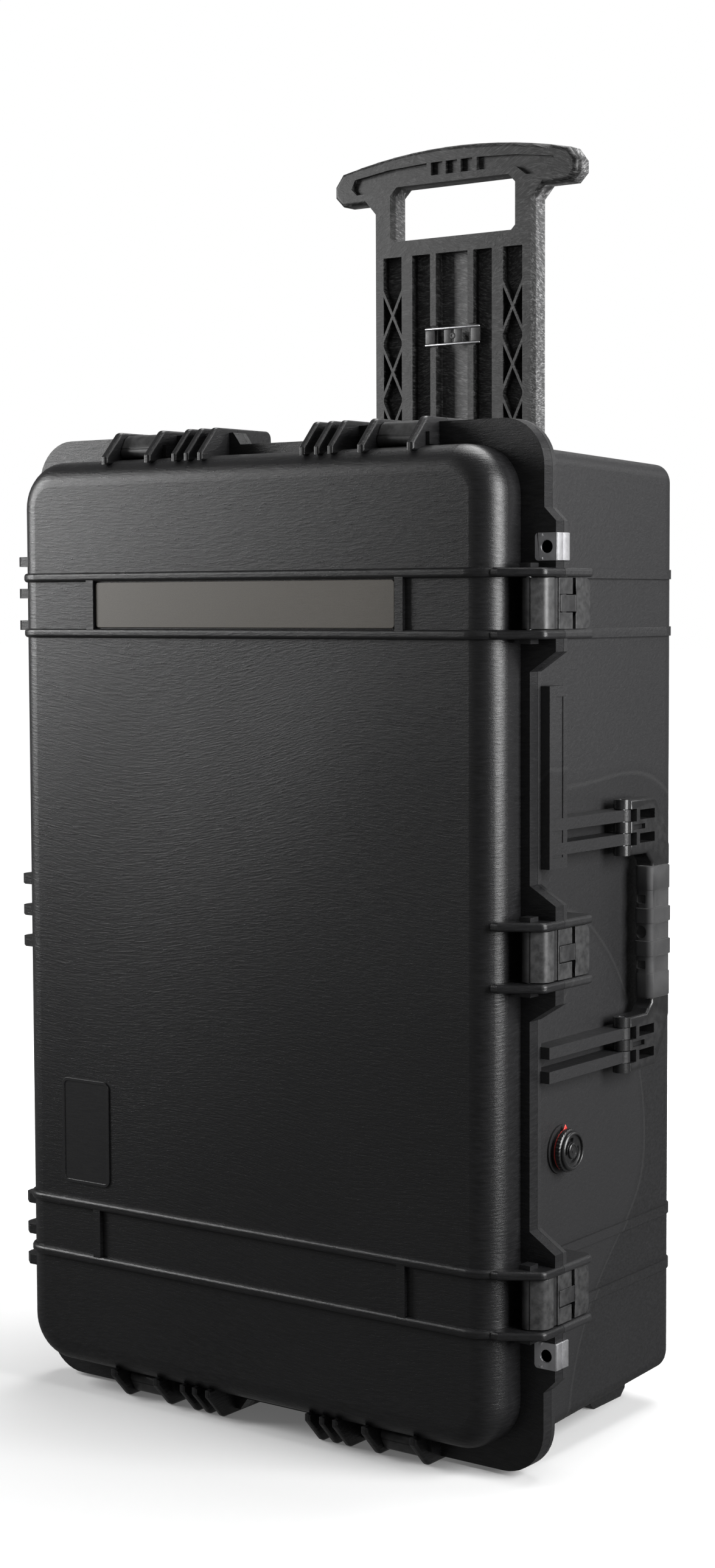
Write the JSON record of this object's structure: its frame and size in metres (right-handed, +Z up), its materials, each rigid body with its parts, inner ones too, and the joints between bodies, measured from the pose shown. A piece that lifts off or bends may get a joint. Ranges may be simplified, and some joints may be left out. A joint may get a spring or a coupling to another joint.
{
  "type": "wheeled hard equipment case",
  "caption": "Wheeled hard case standing on end, with a hinged lid, seven two-part latches, a folding side handle, a sliding pull handle and padlock tabs.",
  "frame": {"origin": "floor level, at the middle of the outer box", "axes": "+Z up, the lid faces -Y, the side latches and the carry handle are at +X, the hinges at -X"},
  "size_m": [0.52, 0.316, 1.0544],
  "materials": {
    "shell_plastic": "fine diagonal grain, satin black",
    "latch_plastic": "satin black, worn lighter on the edges",
    "handle_plastic": "glass filled, swirled grey flow marks",
    "wheel_plastic": "plain moulded black",
    "tyre": "smooth urethane tread",
    "grip_rubber": "soft dark grey overmould",
    "gasket": "black cord seal",
    "stainless": "brushed stainless steel",
    "plate_bronze": "warm grey bronze plate, left blank",
    "plate_black": "black plate with a raised rim, left blank",
    "red_plastic": "red"
  },
  "bodies": {
    "base": {"base_shell": "shell_plastic", "handle_channel": "shell_plastic", "valve_body": "shell_plastic", "valve_ring": "red_plastic", "side_handle_pin_upper": "stainless", "side_handle_pin_lower": "stainless", "wheel_well_left": "wheel_plastic", "wheel_well_right": "wheel_plastic", "wheel_axle_left": "stainless", "wheel_axle_right": "stainless"},
    "lid": {"lid_shell": "shell_plastic", "lid_gasket": "gasket", "nameplate": "plate_bronze", "label_plate": "plate_black", "padlock_plate_upper": "stainless", "padlock_plate_lower": "stainless", "hinge_pin_1": "stainless", "hinge_pin_2": "stainless", "hinge_pin_3": "stainless", "latch_pin_side_upper": "stainless", "latch_pin_side_middle": "stainless", "latch_pin_side_lower": "stainless", "latch_pin_top_left": "stainless", "latch_pin_top_right": "stainless", "latch_pin_bottom_left": "stainless", "latch_pin_bottom_right": "stainless"},
    "side_handle": {"side_handle_frame": "shell_plastic", "side_handle_grip": "grip_rubber"},
    "pull_handle": {"pull_handle": "handle_plastic", "handle_clip": "stainless"},
    "valve_knob": {"valve_knob": "shell_plastic"},
    "latch_side_upper": {"latch_body_side_upper": "latch_plastic"},
    "lever_side_upper": {"latch_lever_side_upper": "latch_plastic"},
    "latch_side_middle": {"latch_body_side_middle": "latch_plastic"},
    "lever_side_middle": {"latch_lever_side_middle": "latch_plastic"},
    "latch_side_lower": {"latch_body_side_lower": "latch_plastic"},
    "lever_side_lower": {"latch_lever_side_lower": "latch_plastic"},
    "latch_top_left": {"latch_body_top_left": "latch_plastic"},
    "lever_top_left": {"latch_lever_top_left": "latch_plastic"},
    "latch_top_right": {"latch_body_top_right": "latch_plastic"},
    "lever_top_right": {"latch_lever_top_right": "latch_plastic"},
    "latch_bottom_left": {"latch_body_bottom_left": "latch_plastic"},
    "lever_bottom_left": {"latch_lever_bottom_left": "latch_plastic"},
    "latch_bottom_right": {"latch_body_bottom_right": "latch_plastic"},
    "lever_bottom_right": {"latch_lever_bottom_right": "latch_plastic"},
    "wheel_left_inner": {"wheel_hub_left_inner": "wheel_plastic", "wheel_tyre_left_inner": "tyre"},
    "wheel_left_outer": {"wheel_hub_left_outer": "wheel_plastic", "wheel_tyre_left_outer": "tyre"},
    "wheel_right_inner": {"wheel_hub_right_inner": "wheel_plastic", "wheel_tyre_right_inner": "tyre"},
    "wheel_right_outer": {"wheel_hub_right_outer": "wheel_plastic", "wheel_tyre_right_outer": "tyre"}
  },
  "joints": [
    {"name": "lid_hinge", "type": "hinge", "parent": "base", "child": "lid", "pos_m": [-0.2555, -0.105, 0.401], "axis": [0, 0, -1], "range_deg": [0, 110]},
    {"name": "side_handle_swing", "type": "hinge", "parent": "base", "child": "side_handle", "pos_m": [0.24, 0.012, 0.401], "axis": [0, 0, -1], "range_deg": [0, 100]},
    {"name": "pull_handle_slide", "type": "slide", "parent": "base", "child": "pull_handle", "axis": [0, 0, 1], "range_m": [-0.25, 0]},
    {"name": "valve_turn", "type": "hinge", "parent": "base", "child": "valve_knob", "pos_m": [0.233, -0.059, 0.243], "axis": [1, 0, 0], "range_deg": [0, 180]},
    {"name": "latch_side_upper_swing", "type": "hinge", "parent": "lid", "child": "latch_side_upper", "pos_m": [0.2435, -0.129, 0.66145], "axis": [0, 0, -1], "range_deg": [0, 100]},
    {"name": "lever_side_upper_lift", "type": "hinge", "parent": "latch_side_upper", "child": "lever_side_upper", "pos_m": [0.251, -0.099, 0.66145], "axis": [0, 0, -1], "range_deg": [0, 70]},
    {"name": "latch_side_middle_swing", "type": "hinge", "parent": "lid", "child": "latch_side_middle", "pos_m": [0.2435, -0.129, 0.401], "axis": [0, 0, -1], "range_deg": [0, 100]},
    {"name": "lever_side_middle_lift", "type": "hinge", "parent": "latch_side_middle", "child": "lever_side_middle", "pos_m": [0.251, -0.099, 0.401], "axis": [0, 0, -1], "range_deg": [0, 70]},
    {"name": "latch_side_lower_swing", "type": "hinge", "parent": "lid", "child": "latch_side_lower", "pos_m": [0.2435, -0.129, 0.14055], "axis": [0, 0, -1], "range_deg": [0, 100]},
    {"name": "lever_side_lower_lift", "type": "hinge", "parent": "latch_side_lower", "child": "lever_side_lower", "pos_m": [0.251, -0.099, 0.14055], "axis": [0, 0, -1], "range_deg": [0, 70]},
    {"name": "latch_top_left_swing", "type": "hinge", "parent": "lid", "child": "latch_top_left", "pos_m": [-0.1291, -0.129, 0.7855], "axis": [1, 0, 0], "range_deg": [0, 100]},
    {"name": "lever_top_left_lift", "type": "hinge", "parent": "latch_top_left", "child": "lever_top_left", "pos_m": [-0.1291, -0.099, 0.793], "axis": [1, 0, 0], "range_deg": [0, 70]},
    {"name": "latch_top_right_swing", "type": "hinge", "parent": "lid", "child": "latch_top_right", "pos_m": [0.1291, -0.129, 0.7855], "axis": [1, 0, 0], "range_deg": [0, 100]},
    {"name": "lever_top_right_lift", "type": "hinge", "parent": "latch_top_right", "child": "lever_top_right", "pos_m": [0.1291, -0.099, 0.793], "axis": [1, 0, 0], "range_deg": [0, 70]},
    {"name": "latch_bottom_left_swing", "type": "hinge", "parent": "lid", "child": "latch_bottom_left", "pos_m": [-0.1291, -0.129, 0.0165], "axis": [-1, 0, 0], "range_deg": [0, 100]},
    {"name": "lever_bottom_left_lift", "type": "hinge", "parent": "latch_bottom_left", "child": "lever_bottom_left", "pos_m": [-0.1291, -0.099, 0.009], "axis": [-1, 0, 0], "range_deg": [0, 70]},
    {"name": "latch_bottom_right_swing", "type": "hinge", "parent": "lid", "child": "latch_bottom_right", "pos_m": [0.1291, -0.129, 0.0165], "axis": [-1, 0, 0], "range_deg": [0, 100]},
    {"name": "lever_bottom_right_lift", "type": "hinge", "parent": "latch_bottom_right", "child": "lever_bottom_right", "pos_m": [0.1291, -0.099, 0.009], "axis": [-1, 0, 0], "range_deg": [0, 70]},
    {"name": "wheel_left_inner_spin", "type": "hinge", "parent": "base", "child": "wheel_left_inner", "pos_m": [-0.129, 0.112, 0.038], "axis": [1, 0, 0], "continuous": true},
    {"name": "wheel_left_outer_spin", "type": "hinge", "parent": "base", "child": "wheel_left_outer", "pos_m": [-0.159, 0.112, 0.038], "axis": [1, 0, 0], "continuous": true},
    {"name": "wheel_right_inner_spin", "type": "hinge", "parent": "base", "child": "wheel_right_inner", "pos_m": [0.11, 0.112, 0.038], "axis": [1, 0, 0], "continuous": true},
    {"name": "wheel_right_outer_spin", "type": "hinge", "parent": "base", "child": "wheel_right_outer", "pos_m": [0.14, 0.112, 0.038], "axis": [1, 0, 0], "continuous": true}
  ]
}
